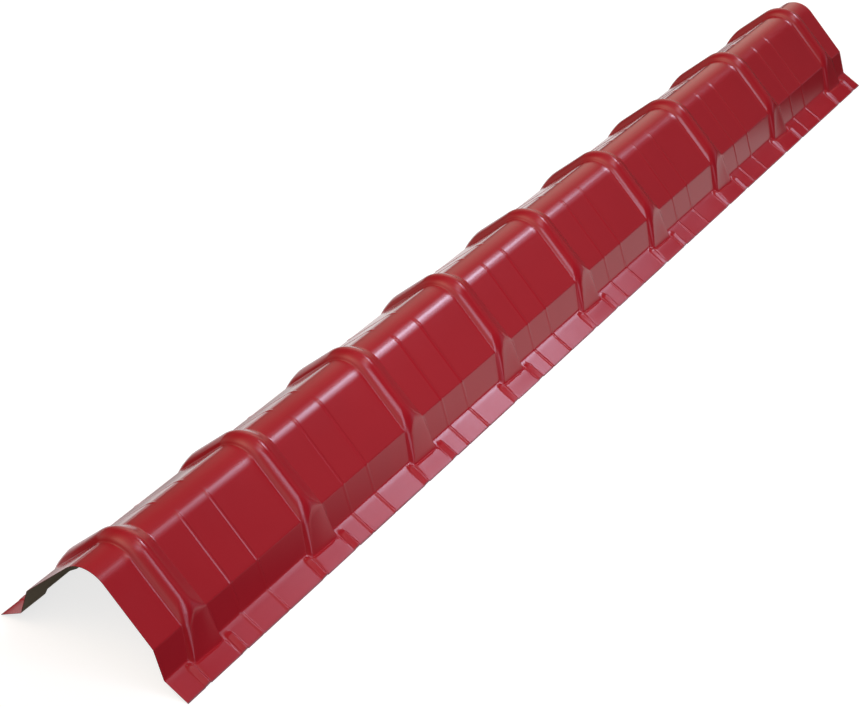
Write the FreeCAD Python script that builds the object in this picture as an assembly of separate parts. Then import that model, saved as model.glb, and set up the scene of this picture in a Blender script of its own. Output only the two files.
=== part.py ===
import FreeCAD, Part
import math
import os
from dataclasses import dataclass
from dataclasses import replace

# Pressed steel ridge cap: one long sheet bent over a roof ridge and stiffened by cross ribs.
# X runs along the ridge, Y across it and Z up. The sheet stands on the outer edges of its two
# flanges at Z = 0, and the origin is under its middle. All sizes are in millimetres.

# Sheet and length. The last rib is pressed a little further along than the even pitch.
SHEET_THICKNESS = 0.5
RIB_COUNT = 9
RIB_PITCH = 232.0
LAST_RIB_SHIFT = 9.0
NEAR_LEAD = 50.0
FAR_LEAD = 85.0

# Section between the ribs: rounded top, two slopes, two steep walls and two flanges
TOP_RADIUS = 40.0
SLOPE_ANGLE = math.radians(43.9)
BREAK_HALF_WIDTH = 93.0
WALL_HEIGHT = 38.5
WALL_LEAN = 13.0
FLANGE_RUN = 33.0
FLANGE_FALL = 17.5

# Rib: a steep front from the front crease to the crest, and a back that falls to the back crease
RIB_HEIGHT = 10.0
FRONT_CREASE_FOOT = -7.5
CREST_TOP = 10.0
CREST_BREAK = 14.0
CREST_FOOT = -3.5
BACK_CREASE_TOP = 39.0
BACK_CREASE_BREAK = 45.0
BACK_CREASE_FOOT = 43.0

# Rounding of the crest: how far along the front and the back it starts and ends, and how high
CREST_START = 0.6
CREST_START_LIFT = 7.5
CREST_END = 0.2
CREST_END_LIFT = 9.0

# The foot of a rib spreads out over the flange and turns back to the wall behind the back crease
CREST_SPREAD = 8.0
BACK_CREASE_SPREAD = 10.0
TURN_END_FOOT = 55.0
TURN_END_BREAK = 47.0
TURN_END_TOP = 41.0

# Flange beads, which run from near the wall through the outer edge
BEAD_HEIGHT = 2.5
BEAD_WIDTH = 12.0
BEAD_CROWN = 5.0
BEAD_RAMP = 5.0
FRONT_BEAD_CENTRE = -13.5
FRONT_BEAD_GAP = 2.0
BACK_BEAD_CENTRE = 57.0
BACK_BEAD_GAP = 7.0

# The rounded top is drawn as this many arcs, and a panel this close to flat is one face
TOP_ARCS = 4
FLATNESS = 1e-6

# Heights of the section above the floor, measured on the outer face
TIP_Z = SHEET_THICKNESS
FOOT_Z = TIP_Z + FLANGE_FALL
BREAK_Z = FOOT_Z + WALL_HEIGHT
TOP_AXIS_Z = BREAK_Z + BREAK_HALF_WIDTH * math.tan(SLOPE_ANGLE) - TOP_RADIUS / math.cos(SLOPE_ANGLE)


@dataclass(frozen=True)
class Station:
    """One cross-section of the sheet, which may lean along X from its flanges to its top."""

    tip_x: float
    foot_x: float
    break_x: float
    top_x: float
    lift: float = 0.0
    spread: float = 0.0
    bead: float = 0.0
    gap: float = FRONT_BEAD_GAP

    def moved(self, distance):
        """The same section further along X."""
        return replace(
            self,
            tip_x=self.tip_x + distance,
            foot_x=self.foot_x + distance,
            break_x=self.break_x + distance,
            top_x=self.top_x + distance,
        )

    def toward(self, other, share, lift):
        """A section part of the way to another one, with its own lift."""

        def mixed(start, end):
            return start + share * (end - start)

        return Station(
            mixed(self.tip_x, other.tip_x),
            mixed(self.foot_x, other.foot_x),
            mixed(self.break_x, other.break_x),
            mixed(self.top_x, other.top_x),
            lift=lift,
            spread=mixed(self.spread, other.spread),
        )


def upright(x, bead=0.0, gap=FRONT_BEAD_GAP):
    """A section of the plain body that stands square to the length."""
    return Station(x, x, x, x, bead=bead, gap=gap)


def corner(previous, point, following, inset):
    """Move a corner of a bent line to the inside by the inset, keeping both legs parallel."""
    normals = []
    for start, end in ((previous, point), (point, following)):
        length = math.hypot(end[0] - start[0], end[1] - start[1])
        normals.append(((start[1] - end[1]) / length, (end[0] - start[0]) / length))
    (first_y, first_z), (second_y, second_z) = normals
    scale = inset / (1.0 + first_y * second_y + first_z * second_z)
    return point[0] + scale * (first_y + second_y), point[1] + scale * (first_z + second_z)


def on_flange(distance, rise=0.0):
    """The point of the flange at a distance from the plain foot of the wall, raised by a bead."""
    width = math.hypot(FLANGE_RUN, FLANGE_FALL)
    y = BREAK_HALF_WIDTH + WALL_LEAN + distance * FLANGE_RUN / width
    return y, FOOT_Z - distance * FLANGE_FALL / width + rise


def skin(station, inset):
    """Corners of one face of the sheet at a section, from the +Y flange over the top to -Y."""
    bead_root = station.spread + station.gap
    outline = [
        on_flange(math.hypot(FLANGE_RUN, FLANGE_FALL), station.bead),
        on_flange(bead_root + BEAD_RAMP, station.bead),
        on_flange(bead_root),
        on_flange(station.spread),
        (BREAK_HALF_WIDTH, BREAK_Z + station.lift / math.cos(SLOPE_ANGLE)),
    ]
    tip, shoulder = outline[0], outline[-1]
    outline.append((shoulder[0] - math.cos(SLOPE_ANGLE), shoulder[1] + math.sin(SLOPE_ANGLE)))
    lengthwise = [station.tip_x, station.tip_x, station.foot_x, station.break_x]

    side = [(station.tip_x, tip[0], tip[1] - inset)]
    for x, previous, point, following in zip(lengthwise, outline, outline[1:], outline[2:]):
        side.append((x, *corner(previous, point, following, inset)))
    radius = TOP_RADIUS + station.lift - inset
    angles = [SLOPE_ANGLE * (1.0 - 2.0 * step / TOP_ARCS) for step in range(TOP_ARCS + 1)]
    top = [(station.top_x, radius * math.sin(a), TOP_AXIS_Z + radius * math.cos(a)) for a in angles]
    other_side = [(x, -y, z) for x, y, z in reversed(side)]
    return [FreeCAD.Vector(*point) for point in side + top + other_side]


def top_arc(start, end):
    """Arc of the rounded top between two corners of one section."""
    axis = FreeCAD.Vector(start.x, 0.0, TOP_AXIS_Z)
    outward = start + end - axis * 2.0
    outward.normalize()
    return Part.Arc(start, axis + outward * (start - axis).Length, end).toShape()


def flat_faces(a, b, c, d):
    """A quadrilateral as one flat face, or as two triangles folded along its shorter diagonal."""
    normal = (b - a).cross(d - a)
    if abs((c - a).dot(normal)) < FLATNESS * normal.Length:
        return [Part.Face(Part.makePolygon([a, b, c, d, a]))]
    if (c - a).Length <= (d - b).Length:
        triangles = ((a, b, c), (a, c, d))
    else:
        triangles = ((a, b, d), (b, c, d))
    return [Part.Face(Part.makePolygon([*corners, corners[0]])) for corners in triangles]


def skin_faces(first, second):
    """Faces of one skin of the sheet between two neighbouring sections."""
    sides = (len(first) - 1 - TOP_ARCS) // 2
    faces = []
    for index in range(len(first) - 1):
        a, b = first[index], first[index + 1]
        d, c = second[index], second[index + 1]
        if sides <= index < sides + TOP_ARCS:
            faces.append(Part.makeRuledSurface(top_arc(a, b), top_arc(d, c)))
        else:
            faces.extend(flat_faces(a, b, c, d))
    return faces


def end_face(outer, inner):
    """The cut end of the sheet."""
    sides = (len(outer) - 1 - TOP_ARCS) // 2
    edges = []
    for line in (outer, inner[::-1]):
        for index, (start, end) in enumerate(zip(line, line[1:])):
            on_top = sides <= index < sides + TOP_ARCS
            edges.append(top_arc(start, end) if on_top else Part.makeLine(start, end))
    edges.append(Part.makeLine(outer[-1], inner[-1]))
    edges.append(Part.makeLine(outer[0], inner[0]))
    return Part.Face(Part.Wire(Part.__sortEdges__(edges)))


def rib():
    """Sections of one rib with its two beads, measured from its front crease."""
    side = BEAD_WIDTH / 2.0
    crown = BEAD_CROWN / 2.0
    front_crease = Station(FRONT_BEAD_CENTRE + side, FRONT_CREASE_FOOT, 0.0, 0.0)
    crest = Station(
        CREST_FOOT,
        CREST_FOOT,
        CREST_BREAK,
        CREST_TOP,
        lift=RIB_HEIGHT,
        spread=CREST_SPREAD,
    )
    back_crease = Station(
        BACK_BEAD_CENTRE - side,
        BACK_CREASE_FOOT,
        BACK_CREASE_BREAK,
        BACK_CREASE_TOP,
        spread=BACK_CREASE_SPREAD,
    )
    turn_end = Station(
        BACK_BEAD_CENTRE - crown,
        TURN_END_FOOT,
        TURN_END_BREAK,
        TURN_END_TOP,
        bead=BEAD_HEIGHT,
        gap=BACK_BEAD_GAP,
    )
    return [
        upright(FRONT_BEAD_CENTRE - side),
        upright(FRONT_BEAD_CENTRE - crown, BEAD_HEIGHT),
        upright(FRONT_BEAD_CENTRE + crown, BEAD_HEIGHT),
        front_crease,
        front_crease.toward(crest, CREST_START, CREST_START_LIFT),
        crest,
        crest.toward(back_crease, CREST_END, CREST_END_LIFT),
        back_crease,
        turn_end,
        upright(BACK_BEAD_CENTRE + crown, BEAD_HEIGHT, BACK_BEAD_GAP),
        upright(BACK_BEAD_CENTRE + side, gap=BACK_BEAD_GAP),
    ]


def ridge_cap():
    """The whole sheet, closed from its two skins, its flange edges and its two ends."""
    rib_starts = [index * RIB_PITCH for index in range(RIB_COUNT)]
    rib_starts[-1] += LAST_RIB_SHIFT
    length = NEAR_LEAD + rib_starts[-1] + FAR_LEAD
    stations = [upright(-length / 2.0)]
    for start in rib_starts:
        stations.extend(station.moved(start + NEAR_LEAD - length / 2.0) for station in rib())
    stations.append(upright(length / 2.0))

    outer = [skin(station, 0.0) for station in stations]
    inner = [skin(station, SHEET_THICKNESS) for station in stations]
    faces = [end_face(outer[0], inner[0]), end_face(outer[-1], inner[-1])]
    for near, far in zip(range(len(stations)), range(1, len(stations))):
        faces.extend(skin_faces(outer[near], outer[far]))
        faces.extend(skin_faces(inner[near], inner[far]))
        for edge in (0, -1):
            faces.extend(flat_faces(outer[near][edge], outer[far][edge], inner[far][edge], inner[near][edge]))
    shell = Part.makeShell(faces)
    shell.sewShape()
    return Part.makeSolid(shell).removeSplitter()


os.makedirs("parts", exist_ok=True)
ridge_cap().exportStep("parts/ridge_cap.step")
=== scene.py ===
"""Looks of a roof ridge cap: one pressed, coil-coated steel sheet in a white studio."""

import logging
import math
from dataclasses import dataclass, field
from enum import Enum

import bpy
import numpy as np
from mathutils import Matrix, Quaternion, Vector

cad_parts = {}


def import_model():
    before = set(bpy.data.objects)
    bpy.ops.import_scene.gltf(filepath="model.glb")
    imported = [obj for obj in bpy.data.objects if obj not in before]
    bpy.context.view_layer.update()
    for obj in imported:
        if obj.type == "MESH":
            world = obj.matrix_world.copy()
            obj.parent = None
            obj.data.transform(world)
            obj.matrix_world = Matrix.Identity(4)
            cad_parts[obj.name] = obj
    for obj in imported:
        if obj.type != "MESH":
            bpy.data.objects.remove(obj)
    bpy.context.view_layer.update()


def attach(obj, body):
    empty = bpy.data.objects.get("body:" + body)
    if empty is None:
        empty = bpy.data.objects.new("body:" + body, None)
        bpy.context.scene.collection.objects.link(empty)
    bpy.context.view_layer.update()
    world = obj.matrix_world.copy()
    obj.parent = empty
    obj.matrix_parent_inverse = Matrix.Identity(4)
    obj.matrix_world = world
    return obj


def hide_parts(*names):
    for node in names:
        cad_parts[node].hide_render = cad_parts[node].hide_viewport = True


LOG = logging.getLogger("ridge_cap")
MILLIMETRE = 0.001
LAVENDER = (0.93, 1.0, 1.27)
BEIGE = (1.12, 1.0, 0.86)
AMBER = (1.35, 0.95, 0.65)

# Most of a noise pattern lies between these two values
NOISE_MIDDLE = (0.3, 0.7)


class Face(Enum):
    """The three kinds of face on the sheet, numbered as their material slots."""

    OUTSIDE = 0
    UNDERSIDE = 1
    # The cut edges, and also the outermost strip of the outer face, where the darker paint is painted
    # shade along the flanges' edges
    SHEET_EDGE_AND_PAINTED_SHADE = 2


class Ease(Enum):
    """How a ramp runs from its start to its end, by Blender's names."""

    STRAIGHT = "LINEAR"
    SOFT = "SMOOTHSTEP"


def node(tree: bpy.types.NodeTree, kind: str, **settings: object) -> bpy.types.Node:
    """Add a node to a material or world and set its plain properties.

    Args:
        tree: The node tree that gets the node.
        kind: Blender's name of the node's type.
        **settings: Properties of the node by name.

    Returns:
        The new node.
    """
    made = tree.nodes.new(kind)
    for name, value in settings.items():
        setattr(made, name, value)
    return made


def calculate(
    tree: bpy.types.NodeTree, operation: str, first: object, second: object = None
) -> bpy.types.NodeSocket:
    """Add a math node whose inputs are sockets or numbers.

    Args:
        tree: The node tree that gets the node.
        operation: Blender's name of the operation.
        first: The first input.
        second: The second input, where the operation has one.

    Returns:
        The result's socket.
    """
    made = node(tree, "ShaderNodeMath", operation=operation)
    for socket, value in zip(made.inputs, (first, second)):
        if isinstance(value, bpy.types.NodeSocket):
            tree.links.new(value, socket)
        elif value is not None:
            socket.default_value = value
    return made.outputs[0]


def noise(
    tree: bpy.types.NodeTree, place: bpy.types.NodeSocket, scale: float, detail: float
) -> bpy.types.NodeSocket:
    """Add a noise pattern fixed to the object.

    Args:
        tree: The node tree that gets the node.
        place: The coordinates that the pattern follows.
        scale: Grains to the metre.
        detail: Octaves of finer grain.

    Returns:
        The pattern's value, from 0 to 1.
    """
    made = node(tree, "ShaderNodeTexNoise")
    made.inputs["Scale"].default_value = scale
    made.inputs["Detail"].default_value = detail
    tree.links.new(place, made.inputs["Vector"])
    return made.outputs["Fac"]


def ramp(
    tree: bpy.types.NodeTree,
    value: bpy.types.NodeSocket,
    stretch: tuple[float, float],
    results: tuple[float, float],
    ease: Ease = Ease.STRAIGHT,
) -> bpy.types.NodeSocket:
    """Add a ramp that turns a stretch of a value into a range of results.

    Args:
        tree: The node tree that gets the node.
        value: The value that the ramp follows.
        stretch: The values at which the ramp starts and ends.
        results: What the ramp gives at its start and at its end.
        ease: How it runs in between.

    Returns:
        The ramp's result.
    """
    made = node(tree, "ShaderNodeMapRange", interpolation_type=ease.value)
    for name, number in zip(("From Min", "From Max", "To Min", "To Max"), (*stretch, *results)):
        made.inputs[name].default_value = number
    tree.links.new(value, made.inputs["Value"])
    return made.outputs["Result"]


@dataclass(frozen=True)
class Coat:
    """A paint film on steel, with a mottled colour, an uneven gloss and a fine skin."""

    name: str
    colour: tuple[float, float, float]
    shade: tuple[float, float, float]
    roughness: float
    roughness_range: float
    grain: float
    flange_film: float = 0.0
    film_height: tuple[float, float] = (0.014, 0.020)
    full_shine: float = 0.5
    mottle_scale: float = 9.0
    mottle_detail: float = 4.0
    gloss_scale: float = 34.0
    gloss_detail: float = 3.0
    grain_scale: float = 1500.0
    grain_detail: float = 2.0
    grain_depth: float = 0.1 * MILLIMETRE
    ior: float = 1.5

    def material(self) -> bpy.types.Material:
        """Build the paint.

        Returns:
            The finished material.
        """
        made = bpy.data.materials.new(self.name)
        made.use_nodes = True
        tree = made.node_tree
        shader = tree.nodes["Principled BSDF"]
        place = node(tree, "ShaderNodeTexCoord").outputs["Object"]

        mix = node(tree, "ShaderNodeMix", data_type="RGBA")
        mix.inputs["A"].default_value = (*self.colour, 1.0)
        mix.inputs["B"].default_value = (*self.shade, 1.0)
        mottle = noise(tree, place, self.mottle_scale, self.mottle_detail)
        tree.links.new(ramp(tree, mottle, NOISE_MIDDLE, (0.0, 1.0)), mix.inputs["Factor"])
        tree.links.new(mix.outputs["Result"], shader.inputs["Base Color"])

        limits = (self.roughness - self.roughness_range, self.roughness + self.roughness_range)
        gloss = noise(tree, place, self.gloss_scale, self.gloss_detail)
        tree.links.new(ramp(tree, gloss, NOISE_MIDDLE, limits), shader.inputs["Roughness"])
        if self.flange_film:
            tree.links.new(self.shine(tree, place), shader.inputs["Specular IOR Level"])

        bump = node(tree, "ShaderNodeBump")
        bump.inputs["Strength"].default_value = self.grain
        bump.inputs["Distance"].default_value = self.grain_depth
        tree.links.new(noise(tree, place, self.grain_scale, self.grain_detail), bump.inputs["Height"])
        tree.links.new(bump.outputs["Normal"], shader.inputs["Normal"])
        shader.inputs["IOR"].default_value = self.ior
        return made

    def shine(self, tree: bpy.types.NodeTree, place: bpy.types.NodeSocket) -> bpy.types.NodeSocket:
        """Let the low flanges shine less than the rest, as under a thin film of dust.

        Args:
            tree: The paint's node tree.
            place: The object's coordinates.

        Returns:
            The strength of the paint's reflections.
        """
        split = node(tree, "ShaderNodeSeparateXYZ")
        tree.links.new(place, split.inputs["Vector"])
        dull = self.full_shine * (1.0 - self.flange_film)
        return ramp(tree, split.outputs["Z"], self.film_height, (dull, self.full_shine))


@dataclass(frozen=True)
class Section:
    """Outer face of the sheet across the ridge, with its bends rounded, in millimetres."""

    thickness: float = 0.5
    top_radius: float = 40.0
    slope_angle: float = math.radians(43.9)
    break_half_width: float = 93.0
    wall_height: float = 38.5
    wall_lean: float = 13.0
    flange_run: float = 33.0
    flange_fall: float = 17.5
    foot_bend: float = 4.0
    break_bend: float = 5.0
    lifted_bend: float = 7.0
    flange_steps: tuple[float, ...] = (1.0, 0.96, 0.8, 0.62, 0.5, 0.42, 0.34, 0.27, 0.2, 0.12, 0.04)
    wall_steps: tuple[float, ...] = (0.04, 0.5, 0.96)
    slope_steps: tuple[float, ...] = (0.02, 0.25, 0.6)
    bend_rows: int = 5
    arc_rows: int = 10
    flange_turn: float = 10.0

    @property
    def foot(self) -> np.ndarray:
        """Corner between the wall and the flange."""
        return np.array([self.break_half_width + self.wall_lean, self.thickness + self.flange_fall])

    @property
    def flange_width(self) -> float:
        """Width of the flange along its own slope."""
        return math.hypot(self.flange_run, self.flange_fall)

    @property
    def outward(self) -> np.ndarray:
        """Direction down the flange to its outer edge."""
        return np.array([self.flange_run, -self.flange_fall]) / self.flange_width

    @property
    def axis_height(self) -> float:
        """Height of the rounded top's axis."""
        corner = self.foot[1] + self.wall_height + self.break_half_width * math.tan(self.slope_angle)
        return corner - self.top_radius / math.cos(self.slope_angle)

    def bend(self, before: np.ndarray, corner: np.ndarray, after: np.ndarray, radius: float) -> np.ndarray:
        """Round a corner between two straight legs.

        Args:
            before: A point on the leg that comes first.
            corner: The sharp corner.
            after: A point on the leg that comes next.
            radius: Radius of the bend.

        Returns:
            Points of the bend, one row each.
        """
        back = (before - corner) / np.linalg.norm(before - corner)
        on = (after - corner) / np.linalg.norm(after - corner)
        half = 0.5 * math.acos(float(back @ on))
        centre = corner + (back + on) / np.linalg.norm(back + on) * radius / math.sin(half)
        reach = radius / math.tan(half)
        first = corner + back * reach - centre
        last = corner + on * reach - centre
        sweep = math.pi - 2.0 * half
        share = np.linspace(0.0, 1.0, self.bend_rows)[:, None]
        turned = np.sin((1.0 - share) * sweep) * first + np.sin(share * sweep) * last
        return centre + turned / math.sin(sweep)

    def half(self, lift: float, spread: float) -> tuple[np.ndarray, np.ndarray]:
        """Lay out one half of the section, from the flange's edge to the middle of the top.

        Args:
            lift: Height of the rib over the slope and the top.
            spread: How far the foot of the rib reaches out over the flange.

        Returns:
            The points as distance from the ridge plane and height, and the numbers of the rows at
            the foot, the break and the start of the rounded top.
        """
        edge = self.foot + self.outward * self.flange_width
        foot = self.foot + self.outward * spread
        rise = self.wall_height + lift / math.cos(self.slope_angle)
        shoulder = np.array([self.break_half_width, self.foot[1] + rise])
        angles = np.linspace(self.slope_angle, 0.0, self.arc_rows)
        radius = self.top_radius + lift
        arc = np.column_stack([radius * np.sin(angles), self.axis_height + radius * np.cos(angles)])

        foot_bend = self.bend(edge, foot, shoulder, self.foot_bend)
        break_bend = self.bend(foot, shoulder, arc[0], self.break_bend + self.lifted_bend * lift)

        def between(start: np.ndarray, end: np.ndarray, steps: tuple[float, ...]) -> np.ndarray:
            """Points of a straight stretch at shares of its length."""
            return start + np.array(steps)[:, None] * (end - start)

        flange = between(foot_bend[0], edge, self.flange_steps)
        wall = between(foot_bend[-1], break_bend[0], self.wall_steps)
        slope = between(break_bend[-1], arc[0], self.slope_steps)
        rows = np.vstack([flange, foot_bend, wall, break_bend, slope, arc])
        at_foot = len(flange) + self.bend_rows // 2
        at_break = at_foot + self.bend_rows + len(wall)
        return rows, np.array([at_foot, at_break, len(rows) - self.arc_rows])


@dataclass(frozen=True)
class Station:
    """One leaning cross-section of the sheet, in millimetres along the ridge."""

    edge: float
    foot: float
    shoulder: float
    top: float
    lift: float = 0.0
    spread: float = 0.0

    @classmethod
    def upright(cls, x: float) -> "Station":
        """A section square to the ridge."""
        return cls(x, x, x, x)

    @classmethod
    def evenly(cls, value: float) -> "Station":
        """The same value for the whole section."""
        return cls(value, value, value, value, value, value)

    def values(self) -> np.ndarray:
        """The section as a row of numbers."""
        return np.array([self.edge, self.foot, self.shoulder, self.top, self.lift, self.spread])

    def moved(self, distance: float) -> "Station":
        """The same section further along the ridge."""
        return Station(*(self.values() + np.array([distance] * 4 + [0.0, 0.0])))


@dataclass(frozen=True)
class Rib:
    """A pressed cross rib with a steep front and a long back, measured from its front crease.

    The sheet bends at the front crease, at the shoulder, at the crest and at the back crease. Each
    bend is rounded over a share of the stretch before it and a share of the stretch after it, and
    the shares differ between the foot of the rib and its top.
    """

    ahead: Station = Station(-12.0, -12.0, -1.5, -10.0)
    front: Station = Station(-7.5, -7.5, 0.7, 0.7)
    shoulder: Station = Station(-5.1, -5.1, 6.0, 4.8, lift=6.4, spread=4.8)
    crest: Station = Station(-3.5, -3.5, 20.0, 20.0, lift=11.2, spread=8.2)
    back: Station = Station(47.5, 45.5, 45.0, 41.5, spread=10.0)
    turn: Station = Station(49.5, 49.5, 47.0, 43.5)
    front_round: tuple[Station, Station] = (Station.evenly(1.0), Station.evenly(0.15))
    shoulder_round: tuple[Station, Station] = (Station.evenly(0.6), Station.evenly(0.42))
    crest_round: tuple[Station, Station] = (
        Station.evenly(0.5),
        Station(0.05, 0.05, 0.3, 0.3, lift=0.3, spread=0.05),
    )
    back_round: tuple[Station, Station] = (
        Station(0.04, 0.04, 0.12, 0.12, lift=0.12, spread=0.04),
        Station.evenly(0.15),
    )
    round_steps: int = 6
    straight_steps: tuple[int, ...] = (0, 0, 0, 3)

    def stations(self) -> list[Station]:
        """Sample the rib with its bends rounded.

        Returns:
            The sections from just before the front crease to the end of the turn.
        """
        line = (self.ahead, self.front, self.shoulder, self.crest, self.back, self.turn)
        rounds = (self.front_round, self.shoulder_round, self.crest_round, self.back_round)
        corners = [station.values() for station in line]
        rows = []
        for index, (shares, straight) in enumerate(zip(rounds, self.straight_steps)):
            before, corner, after = corners[index : index + 3]
            first = corner + shares[0].values() * (before - corner)
            last = corner + shares[1].values() * (after - corner)
            if straight:
                rows.extend(np.linspace(rows[-1], first, straight + 2)[1:-1])
            for t in np.linspace(0.0, 1.0, self.round_steps):
                rows.append((1.0 - t) ** 2 * first + 2.0 * t * (1.0 - t) * corner + t * t * last)
        rows.append(corners[-1])
        return [Station(*row) for row in rows]


@dataclass(frozen=True)
class Bead:
    """A short raised bead that leans a little, sinks down the flange and runs through its edge."""

    centre: float
    inner_end: float
    half_width: float = 6.5
    height: float = 1.2
    inner_height: float = 2.2
    lean: float = 0.45
    length: float = 30.0
    crown_share: float = 0.66
    crown_column: float = 0.7
    guard_share: float = 1.2
    flank_columns: int = 5

    def rise(self, x: np.ndarray, distance: np.ndarray) -> np.ndarray:
        """Height of the bead over the flange.

        Args:
            x: Places along the ridge, measured from the front crease.
            distance: Distances down the flange from the plain foot.

        Returns:
            Heights in millimetres.
        """
        inward = np.maximum(0.0, self.inner_end + self.half_width - distance)
        away = np.hypot(x - self.centre, inward) / self.half_width
        down = np.clip((away - self.crown_share) / (1.0 - self.crown_share), 0.0, 1.0)
        outward = np.clip((distance - self.inner_end) / self.length, 0.0, 1.0)
        crown = self.inner_height + outward * (self.height - self.inner_height)
        across = np.clip((x - self.centre) / self.half_width, -1.0, 1.0)
        return (1.0 + self.lean * across) * crown * 0.5 * (1.0 + np.cos(math.pi * down))

    def columns(self) -> list[float]:
        """Places along the ridge that carry the bead's curve."""
        flank = np.linspace(self.crown_share, 1.0, self.flank_columns)
        shares = np.concatenate([[self.crown_column * self.crown_share], flank, [self.guard_share]])
        return [self.centre + share * self.half_width for share in (*-shares[::-1], *shares)]


@dataclass(frozen=True)
class PressedLine:
    """A fine raised line pressed across the sheet between two ribs, which fades out over the top."""

    place: float
    half_width: float = 3.0
    height: float = 0.6
    height_above_walls: float = 0.62
    crown_share: float = 0.3
    fade_near_ridge: tuple[float, float] = (9.0, 19.0)
    column_shares: tuple[float, ...] = (-1.3, -1.0, -0.65, -0.3, 0.3, 0.65, 1.0, 1.3)

    def rise(self, x: np.ndarray, above_wall: np.ndarray, aside: np.ndarray) -> np.ndarray:
        """Height of the line over the sheet.

        Args:
            x: Places along the ridge, measured from the front crease.
            above_wall: Whether each place is on the slope or the rounded top.
            aside: Distances from the ridge plane.

        Returns:
            Heights in millimetres.
        """
        away = np.abs(x - self.place) / self.half_width
        down = np.clip((away - self.crown_share) / (1.0 - self.crown_share), 0.0, 1.0)
        height = np.where(above_wall, self.height_above_walls, self.height)
        strength = np.interp(aside, self.fade_near_ridge, (0.0, 1.0))
        return strength * height * 0.5 * (1.0 + np.cos(math.pi * down))

    def columns(self) -> list[float]:
        """Places along the ridge that carry the line's curve."""
        return [self.place + share * self.half_width for share in self.column_shares]


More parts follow.
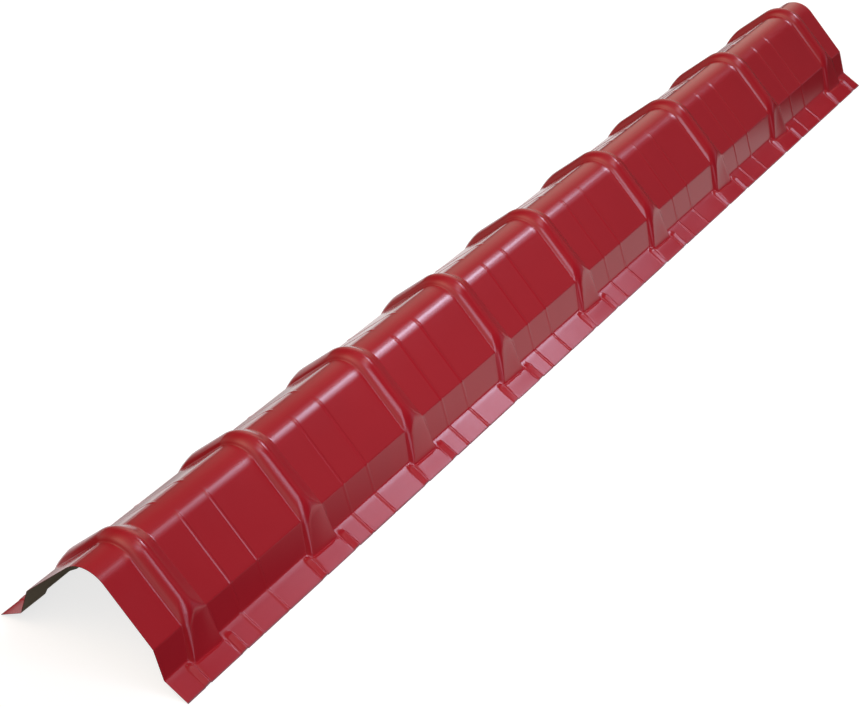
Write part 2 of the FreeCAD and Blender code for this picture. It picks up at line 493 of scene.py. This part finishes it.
@dataclass
class RidgeCap:
    """The whole cap: one sheet with nine ribs, flange beads and fine pressed lines."""

    section: Section = field(default_factory=Section)
    rib: Rib = field(default_factory=Rib)
    rib_count: int = 9
    rib_pitch: float = 232.0
    last_rib_shift: float = 9.0
    near_lead: float = 50.0
    far_lead: float = 85.0
    front_bead: Bead = Bead(centre=-13.0, inner_end=4.0)
    back_bead: Bead = Bead(centre=57.0, inner_end=7.0)
    lines: tuple[PressedLine, ...] = (PressedLine(92.4), PressedLine(144.5))
    dish: float = 0.6
    lead_column: float = 0.4
    bead_clearance: float = 0.5
    end_clearance: float = 1.0
    sharp_angle: float = math.radians(50.0)
    outside: Coat = Coat(
        "red_coil_coating",
        colour=(0.40, 0.011, 0.019),
        shade=(0.38, 0.010, 0.018),
        roughness=0.15,
        roughness_range=0.02,
        grain=0.1,
        flange_film=0.66,
    )
    underside: Coat = Coat(
        "olive_backing_coat",
        colour=(0.22, 0.175, 0.115),
        shade=(0.19, 0.15, 0.10),
        roughness=0.55,
        roughness_range=0.06,
        grain=0.3,
    )
    # Darker red for the sheet's cut edges, also laid on a strip of the outer face along each flange edge
    # as a painted line of shade
    sheet_edge_and_painted_shade: Coat = Coat(
        "sheet_edge_and_painted_edge_shade",
        colour=(0.22, 0.010, 0.016),
        shade=(0.16, 0.009, 0.014),
        roughness=0.45,
        roughness_range=0.06,
        grain=0.3,
    )

    def creases(self) -> list[float]:
        """Places of the ribs' front creases along the ridge, from the middle of the cap."""
        starts = [index * self.rib_pitch for index in range(self.rib_count)]
        starts[-1] += self.last_rib_shift
        length = self.near_lead + starts[-1] + self.far_lead
        return [start + self.near_lead - 0.5 * length for start in starts]

    def stations(self) -> list[Station]:
        """List every cross-section of the cap from its near end to its far end.

        Returns:
            The sections in order along the ridge.
        """
        creases = self.creases()
        near = creases[0] - self.near_lead
        far = creases[-1] + self.far_lead
        made = [Station.upright(near), Station.upright(near + self.lead_column * self.near_lead)]
        ahead_limit = self.rib.ahead.foot - self.bead_clearance
        behind_limit = self.rib.turn.foot + self.bead_clearance
        for crease in creases:
            ahead = [x for x in self.front_bead.columns() if x < ahead_limit]
            behind = [x for x in self.back_bead.columns() if x > behind_limit]
            behind.append(0.5 * (self.back_bead.centre + self.lines[0].place))
            for line in self.lines:
                behind.extend(line.columns())
            behind.append(0.5 * (self.lines[-1].place + self.rib_pitch + self.front_bead.centre))
            made.extend(Station.upright(x + crease) for x in ahead)
            made.extend(station.moved(crease) for station in self.rib.stations())
            on_sheet = [x for x in behind if x + crease < far - self.end_clearance]
            made.extend(Station.upright(x + crease) for x in on_sheet)
        made.append(Station.upright(far))
        return made

    def half_points(self, station: Station) -> np.ndarray:
        """Place one half of a section with the relief of beads and lines.

        Args:
            station: The cross-section.

        Returns:
            Points as place along the ridge, distance from the ridge plane and height.
        """
        section = self.section
        rows, keys = section.half(station.lift, station.spread)
        run = np.concatenate([[0.0], np.cumsum(np.linalg.norm(np.diff(rows, axis=0), axis=1))])
        straight = max(0.0, run[keys[0]] - section.flange_turn)
        places = [0.0, straight, *run[keys], run[-1]]
        leans = [station.edge, station.edge, station.foot, station.shoulder, station.top, station.top]
        x = np.interp(run, places, leans)

        along = np.gradient(rows, axis=0)
        along /= np.linalg.norm(along, axis=1)[:, None]
        normals = np.column_stack([along[:, 1], -along[:, 0]])
        distance = (rows - section.foot) @ section.outward
        on_flange = np.arange(len(rows)) < len(section.flange_steps)
        normals[on_flange] = (0.0, 1.0)
        above_wall = np.arange(len(rows)) > keys[1]
        share = np.clip(distance / section.flange_width, 0.0, 1.0)
        rise = np.where(on_flange, self.dish * station.spread * share * (1.0 - share) ** 2, 0.0)
        for crease in self.creases():
            for bead in (self.front_bead, self.back_bead):
                rise += np.where(on_flange, bead.rise(x - crease, distance), 0.0)
            for line in self.lines:
                rise += line.rise(x - crease, above_wall, rows[:, 0])
        return np.column_stack([x, rows + normals * rise[:, None]])

    def skins(self) -> tuple[np.ndarray, np.ndarray]:
        """Work out both faces of the sheet.

        Returns:
            Grids of points in millimetres for the outer and the inner face, one row of points for
            each cross-section, from the near flange over the top to the far one.
        """
        halves = np.array([self.half_points(station) for station in self.stations()])
        near = halves * np.array([1.0, -1.0, 1.0])
        outer = np.concatenate([near, halves[:, -2::-1]], axis=1)
        normals = np.cross(np.gradient(outer, axis=0), np.gradient(outer, axis=1))
        normals /= np.linalg.norm(normals, axis=2)[:, :, None]
        inner = outer - self.section.thickness * normals
        flange_rows = len(self.section.flange_steps)
        for flange in (slice(None, flange_rows), slice(-flange_rows, None)):
            inner[:, flange] = outer[:, flange] - np.array([0.0, 0.0, self.section.thickness])
        return outer, inner

    def build(self) -> bpy.types.Object:
        """Make the sheet's mesh from its two faces and its cut edges.

        Returns:
            The new object, linked to the scene.
        """
        outer, inner = self.skins()
        columns, rows = outer.shape[:2]
        numbers = np.arange(columns * rows).reshape(columns, rows)
        under = numbers + columns * rows

        def quads(grid: np.ndarray) -> np.ndarray:
            """Four corners of each cell of a grid of point numbers."""
            cells = (grid[:-1, :-1], grid[1:, :-1], grid[1:, 1:], grid[:-1, 1:])
            return np.stack(cells, axis=-1).reshape(-1, 4)

        edges = [
            quads(np.stack([under[:, 0], numbers[:, 0]], axis=1)),
            quads(np.stack([numbers[:, -1], under[:, -1]], axis=1)),
            quads(np.stack([numbers[0], under[0]], axis=0)),
            quads(np.stack([under[-1], numbers[-1]], axis=0)),
        ]
        cells = (columns - 1, rows - 1)
        outside = np.full(cells, Face.OUTSIDE.value)
        # The outermost rows of the outer face get the darker edge paint: a painted dark line of shade
        # along the flanges' edges
        outside[:, [0, -1]] = Face.SHEET_EDGE_AND_PAINTED_SHADE.value
        groups = (
            (quads(numbers), outside),
            (quads(under)[:, ::-1], np.full(cells, Face.UNDERSIDE.value)),
            *((edge, np.full(len(edge), Face.SHEET_EDGE_AND_PAINTED_SHADE.value)) for edge in edges),
        )
        points = np.concatenate([outer.reshape(-1, 3), inner.reshape(-1, 3)]) * MILLIMETRE
        faces = np.vstack([corners for corners, _ in groups])
        mesh = bpy.data.meshes.new("pressed_sheet")
        mesh.from_pydata(points.tolist(), [], faces.tolist())
        kinds = np.concatenate([kind.ravel() for _, kind in groups])
        mesh.polygons.foreach_set("material_index", kinds.astype(np.int32))
        mesh.shade_smooth()
        mesh.set_sharp_from_angle(angle=self.sharp_angle)
        mesh.update()
        made = bpy.data.objects.new("pressed_sheet", mesh)
        bpy.context.scene.collection.objects.link(made)
        return made

    def dress(self, sheet: bpy.types.Object) -> None:
        """Paint the sheet and put it in the place of the plain solid.

        Args:
            sheet: The object that build made.
        """
        for coat in (self.outside, self.underside, self.sheet_edge_and_painted_shade):
            sheet.data.materials.append(coat.material())
        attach(sheet, "root")
        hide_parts("ridge_cap")


@dataclass(frozen=True)
class Softbox:
    """A soft patch of light in the room around the cap."""

    azimuth: float
    elevation: float
    sharpness: float
    strength: float
    tint: tuple[float, float, float] = (1.0, 1.0, 1.0)

    def direction(self) -> Vector:
        """Direction from the cap to the middle of the patch."""
        turn = math.radians(self.azimuth)
        rise = math.radians(self.elevation)
        return Vector((math.cos(rise) * math.cos(turn), math.cos(rise) * math.sin(turn), math.sin(rise)))

    def glow(self, tree: bpy.types.NodeTree, looking: bpy.types.NodeSocket) -> bpy.types.NodeSocket:
        """Add the patch to the room.

        Args:
            tree: The world's node tree.
            looking: The direction in which the room is seen.

        Returns:
            The patch's light in that direction.
        """
        aim = node(tree, "ShaderNodeVectorMath", operation="DOT_PRODUCT")
        aim.inputs[1].default_value = self.direction()
        tree.links.new(looking, aim.inputs[0])
        away = calculate(tree, "SUBTRACT", aim.outputs["Value"], 1.0)
        fall = calculate(tree, "EXPONENT", calculate(tree, "MULTIPLY", away, self.sharpness))
        light = node(tree, "ShaderNodeVectorMath", operation="SCALE")
        light.inputs[0].default_value = Vector(self.tint) * self.strength
        tree.links.new(fall, light.inputs["Scale"])
        return light.outputs["Vector"]


@dataclass(frozen=True)
class SideLamp:
    """A tall lamp that stands beside the cap."""

    width: float
    height: float
    power: float
    place: tuple[float, float, float] = (-0.63, -1.0, 0.76)
    aim: tuple[float, float, float] = (0.75, -0.08, 0.08)
    tint: tuple[float, float, float] = LAVENDER

    def build(self) -> None:
        """Put the lamp in the scene, out of the camera's sight."""
        data = bpy.data.lights.new("side_lamp", "AREA")
        data.shape = "RECTANGLE"
        data.size = self.width
        data.size_y = self.height
        data.energy = self.power
        data.color = self.tint
        made = bpy.data.objects.new("side_lamp", data)
        made.location = self.place
        made.rotation_euler = (Vector(self.aim) - Vector(self.place)).to_track_quat("-Z", "Y").to_euler()
        made.visible_camera = False
        bpy.context.scene.collection.objects.link(made)


@dataclass
class Studio:
    """White floor, soft light all round and the camera."""

    # Azimuth and elevation in degrees, sharpness, strength and tint of each patch
    softboxes: tuple[Softbox, ...] = (
        Softbox(-14.2, 40.3, 480.0, 12.4, LAVENDER),
        Softbox(-21.5, 46.5, 300.0, 2.4, LAVENDER),
        Softbox(-21.0, 42.5, 500.0, 4.6, LAVENDER),
        Softbox(-4.5, 41.5, 300.0, 2.6, LAVENDER),
        Softbox(-27.0, 38.5, 250.0, 4.5, LAVENDER),
        Softbox(-21.0, 40.0, 250.0, 1.4, LAVENDER),
        Softbox(-34.0, 0.0, 40.0, 0.45, LAVENDER),
        Softbox(-88.0, 6.0, 100.0, 2.0, LAVENDER),
        Softbox(-41.0, 60.5, 90.0, 2.6),
        Softbox(-4.0, 0.0, 150.0, 0.18),
        Softbox(95.0, 12.0, 14.0, 0.45, BEIGE),
        Softbox(-38.0, 28.0, 45.0, 0.22),
        Softbox(0.0, 60.0, 14.0, 0.25),
        Softbox(-8.0, 8.0, 14.0, 0.05),
        Softbox(-85.0, 63.0, 60.0, 2.2, LAVENDER),
        Softbox(-90.0, 70.0, 6.0, 0.05),
        Softbox(-150.0, 50.0, 6.0, 0.2),
        Softbox(-155.0, 20.0, 14.0, 0.6),
        Softbox(180.0, 60.0, 6.0, 0.9, BEIGE),
        Softbox(135.0, 55.0, 14.0, 1.3, AMBER),
        Softbox(24.0, 22.0, 16.0, 0.55, BEIGE),
        Softbox(30.0, 8.0, 14.0, 0.45, BEIGE),
    )
    side_lamps: tuple[SideLamp, ...] = (SideLamp(0.5, 0.75, 3.2), SideLamp(0.88, 1.1, 2.5))
    floor_half: float = 20.0
    floor_drop: float = 0.0002
    floor_roughness: float = 0.9
    floor_colour: float = 0.06
    seen_floor_colour: float = 0.4
    floor_glow: float = 0.75
    patch_start: tuple[float, float] = (-0.75, -0.15)
    patch_end: tuple[float, float] = (0.75, 1.15)
    patch_glow: float = 0.9
    far_start: tuple[float, float] = (0.14, 0.2)
    far_end: tuple[float, float] = (0.3, 0.6)
    under_edge: tuple[float, float] = (0.09, 0.12)
    under_glow: float = 0.4
    camera_place: tuple[float, float, float] = (-2.26741, -1.21306, 1.50840)
    camera_aim: tuple[float, float, float] = (-0.10070, 0.10378, -0.09513)
    camera_roll: float = math.radians(1.499)
    lens: float = 82.268
    sensor: float = 36.0

    def light(self) -> None:
        """Fill the world with soft patches of light, show it white to the camera and add the lamps."""
        world = bpy.data.worlds.new("studio_room")
        world.use_nodes = True
        tree = world.node_tree
        looking = node(tree, "ShaderNodeTexCoord").outputs["Generated"]
        glows = [box.glow(tree, looking) for box in self.softboxes]
        total = glows[0]
        for glow in glows[1:]:
            added = node(tree, "ShaderNodeVectorMath", operation="ADD")
            tree.links.new(total, added.inputs[0])
            tree.links.new(glow, added.inputs[1])
            total = added.outputs["Vector"]

        patches = tree.nodes["Background"]
        tree.links.new(total, patches.inputs["Color"])
        white = node(tree, "ShaderNodeBackground")
        white.inputs["Color"].default_value = (1.0, 1.0, 1.0, 1.0)
        choice = node(tree, "ShaderNodeMixShader")
        seen = node(tree, "ShaderNodeLightPath").outputs["Is Camera Ray"]
        tree.links.new(seen, choice.inputs["Fac"])
        tree.links.new(patches.outputs["Background"], choice.inputs[1])
        tree.links.new(white.outputs["Background"], choice.inputs[2])
        tree.links.new(choice.outputs["Shader"], tree.nodes["World Output"].inputs["Surface"])
        bpy.context.scene.world = world
        for lamp in self.side_lamps:
            lamp.build()

    def floor(self) -> None:
        """Lay the floor just under the cap."""
        half, drop = self.floor_half, -self.floor_drop
        mesh = bpy.data.meshes.new("studio_floor")
        corners = [(-half, -half, drop), (half, -half, drop), (half, half, drop), (-half, half, drop)]
        mesh.from_pydata(corners, [], [(0, 1, 2, 3)])
        mesh.materials.append(self.floor_paint())
        made = bpy.data.objects.new("studio_floor", mesh)
        bpy.context.scene.collection.objects.link(made)

    def floor_paint(self) -> bpy.types.Material:
        """Make a pale paint that looks white with the cap's soft shadow, and is clear from below.

        Returns:
            The finished material.
        """
        paint = bpy.data.materials.new("studio_floor")
        paint.use_nodes = True
        tree = paint.node_tree
        shader = tree.nodes["Principled BSDF"]
        shader.inputs["Roughness"].default_value = self.floor_roughness
        shader.inputs["Specular IOR Level"].default_value = 0.0
        shader.inputs["Emission Color"].default_value = (1.0, 1.0, 1.0, 1.0)

        path = node(tree, "ShaderNodeLightPath")
        looks = (path.outputs["Is Camera Ray"], path.outputs["Is Transmission Ray"])
        seen = calculate(tree, "MAXIMUM", *looks)
        tree.links.new(self.floor_light(tree, path, seen), shader.inputs["Emission Strength"])
        mix = node(tree, "ShaderNodeMix", data_type="RGBA")
        mix.inputs["A"].default_value = (*[self.floor_colour] * 3, 1.0)
        mix.inputs["B"].default_value = (*[self.seen_floor_colour] * 3, 1.0)
        tree.links.new(seen, mix.inputs["Factor"])
        tree.links.new(mix.outputs["Result"], shader.inputs["Base Color"])

        sides = node(tree, "ShaderNodeMixShader")
        below = node(tree, "ShaderNodeNewGeometry").outputs["Backfacing"]
        clear = node(tree, "ShaderNodeBsdfTransparent").outputs["BSDF"]
        tree.links.new(below, sides.inputs["Fac"])
        tree.links.new(shader.outputs["BSDF"], sides.inputs[1])
        tree.links.new(clear, sides.inputs[2])
        tree.links.new(sides.outputs["Shader"], tree.nodes["Material Output"].inputs["Surface"])
        return paint

    def floor_light(
        self, tree: bpy.types.NodeTree, path: bpy.types.Node, seen: bpy.types.NodeSocket
    ) -> bpy.types.NodeSocket:
        """Work out how bright the floor is to the camera, in the cap's gloss and under the cap.

        Args:
            tree: The floor's node tree.
            path: The node that tells the kinds of ray apart.
            seen: Whether the camera looks at the floor.

        Returns:
            The floor's own brightness.
        """
        place = node(tree, "ShaderNodeSeparateXYZ")
        tree.links.new(node(tree, "ShaderNodeTexCoord").outputs["Object"], place.inputs["Vector"])
        shown = calculate(tree, "MULTIPLY", seen, self.floor_glow)
        mirrored = calculate(tree, "MULTIPLY", path.outputs["Is Glossy Ray"], self.lit_patch(tree, place))
        aside = calculate(tree, "ABSOLUTE", place.outputs["Y"])
        under = ramp(tree, aside, self.under_edge, (self.under_glow, 0.0), Ease.SOFT)
        bounced = calculate(tree, "MULTIPLY", path.outputs["Is Diffuse Ray"], under)
        return calculate(tree, "ADD", calculate(tree, "ADD", shown, mirrored), bounced)

    def lit_patch(self, tree: bpy.types.NodeTree, place: bpy.types.Node) -> bpy.types.NodeSocket:
        """Make the bright floor that the cap mirrors: a stretch in front and a strip behind.

        Args:
            tree: The floor's node tree.
            place: The node that gives the floor's coordinates.

        Returns:
            The brightness of the floor in a mirrored view.
        """
        x, y = place.outputs["X"], place.outputs["Y"]
        starts = ramp(tree, x, self.patch_start, (0.0, self.patch_glow), Ease.SOFT)
        ends = ramp(tree, x, self.patch_end, (1.0, 0.0), Ease.SOFT)
        far_starts = ramp(tree, y, self.far_start, (0.0, self.patch_glow), Ease.SOFT)
        far_ends = ramp(tree, y, self.far_end, (1.0, 0.0), Ease.SOFT)
        in_front = calculate(tree, "MULTIPLY", starts, ends)
        behind = calculate(tree, "MULTIPLY", far_starts, far_ends)
        return calculate(tree, "MAXIMUM", in_front, behind)

    def camera(self) -> None:
        """Set up the camera at the photograph's viewing angle."""
        data = bpy.data.cameras.new("camera")
        data.sensor_fit = "HORIZONTAL"
        data.sensor_width = self.sensor
        data.lens = self.lens
        made = bpy.data.objects.new("camera", data)
        made.location = self.camera_place
        ahead = Vector(self.camera_aim) - Vector(self.camera_place)
        made.rotation_mode = "QUATERNION"
        roll = Quaternion((0.0, 0.0, 1.0), self.camera_roll)
        made.rotation_quaternion = ahead.to_track_quat("-Z", "Y") @ roll
        bpy.context.scene.collection.objects.link(made)
        bpy.context.scene.camera = made


def main() -> None:
    """Build the cap and the studio in order and report each piece."""
    logging.basicConfig(level=logging.INFO, format="%(message)s")
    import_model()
    bpy.context.scene.view_settings.view_transform = "Standard"

    cap = RidgeCap()
    sheet = cap.build()
    cap.dress(sheet)
    LOG.info("%s: %d faces", sheet.name, len(sheet.data.polygons))

    studio = Studio()
    studio.floor()
    studio.light()
    studio.camera()
    LOG.info("studio: %d softboxes", len(studio.softboxes))


if __name__ == "__main__":
    main()
